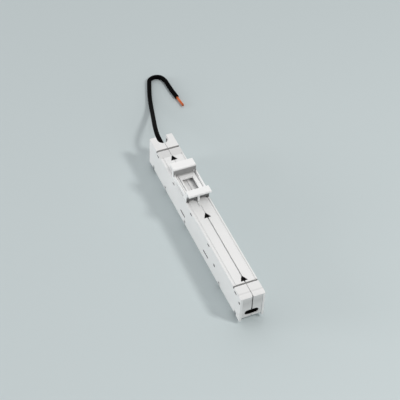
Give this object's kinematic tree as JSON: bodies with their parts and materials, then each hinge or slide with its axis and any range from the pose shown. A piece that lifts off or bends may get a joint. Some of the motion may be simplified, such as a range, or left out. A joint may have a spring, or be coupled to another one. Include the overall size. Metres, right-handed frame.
{
  "type": "power track adapter",
  "caption": "Slim moulded busbar adapter bar with a sliding 35 mm DIN rail support on top, a spring latch at one end and a stripped black lead at the other.",
  "frame": {"origin": "middle of the surface that the housing stands on, centred on the housing's width and length", "axes": "+Z from the busbars towards the device that the rail support carries, +Y along the housing towards the end where the lead leaves, +X across the housing"},
  "size_m": [0.0483, 0.2496, 0.0359],
  "materials": {
    "housing_grey": "fine moulded polyamide",
    "rail_grey": "smooth moulded polyamide",
    "black_insert": "matt moulded polyamide",
    "black_latch": "satin acetal",
    "lead_black": "extruded PVC sheath",
    "copper": "bright copper",
    "tinned_bronze": "tinned",
    "zinc_steel": "zinc plated",
    "spring_steel": "bright drawn wire and strip"
  },
  "bodies": {
    "housing": {"left_shell": "housing_grey", "right_shell": "housing_grey", "contact_carrier": "black_insert", "blank_insert_middle": "black_insert", "blank_insert_lower": "black_insert", "contact_fork": "tinned_bronze", "contact_spring": "spring_steel", "conductor_bar": "copper", "contact_rivet": "copper", "crimp_sleeve": "tinned_bronze", "inner_strands": "copper", "inner_lead": "lead_black", "lead": "lead_black", "lead_copper": "copper", "fixed_hook": "black_latch", "latch_spring": "spring_steel", "end_rivet": "zinc_steel"},
    "rail": {"rail_support": "rail_grey", "rail_brake_spring": "spring_steel"},
    "latch": {"latch_slider": "black_latch"}
  },
  "joints": [
    {"name": "rail_slide", "type": "slide", "parent": "housing", "child": "rail", "axis": [0, 1, 0], "range_m": [-0.074, 0.016]},
    {"name": "latch_slide", "type": "slide", "parent": "housing", "child": "latch", "axis": [0, 1, 0], "range_m": [0, 0.0034], "stiffness_N_per_m": 300, "springref_m": -0.004, "deforming": ["latch_spring"]}
  ]
}
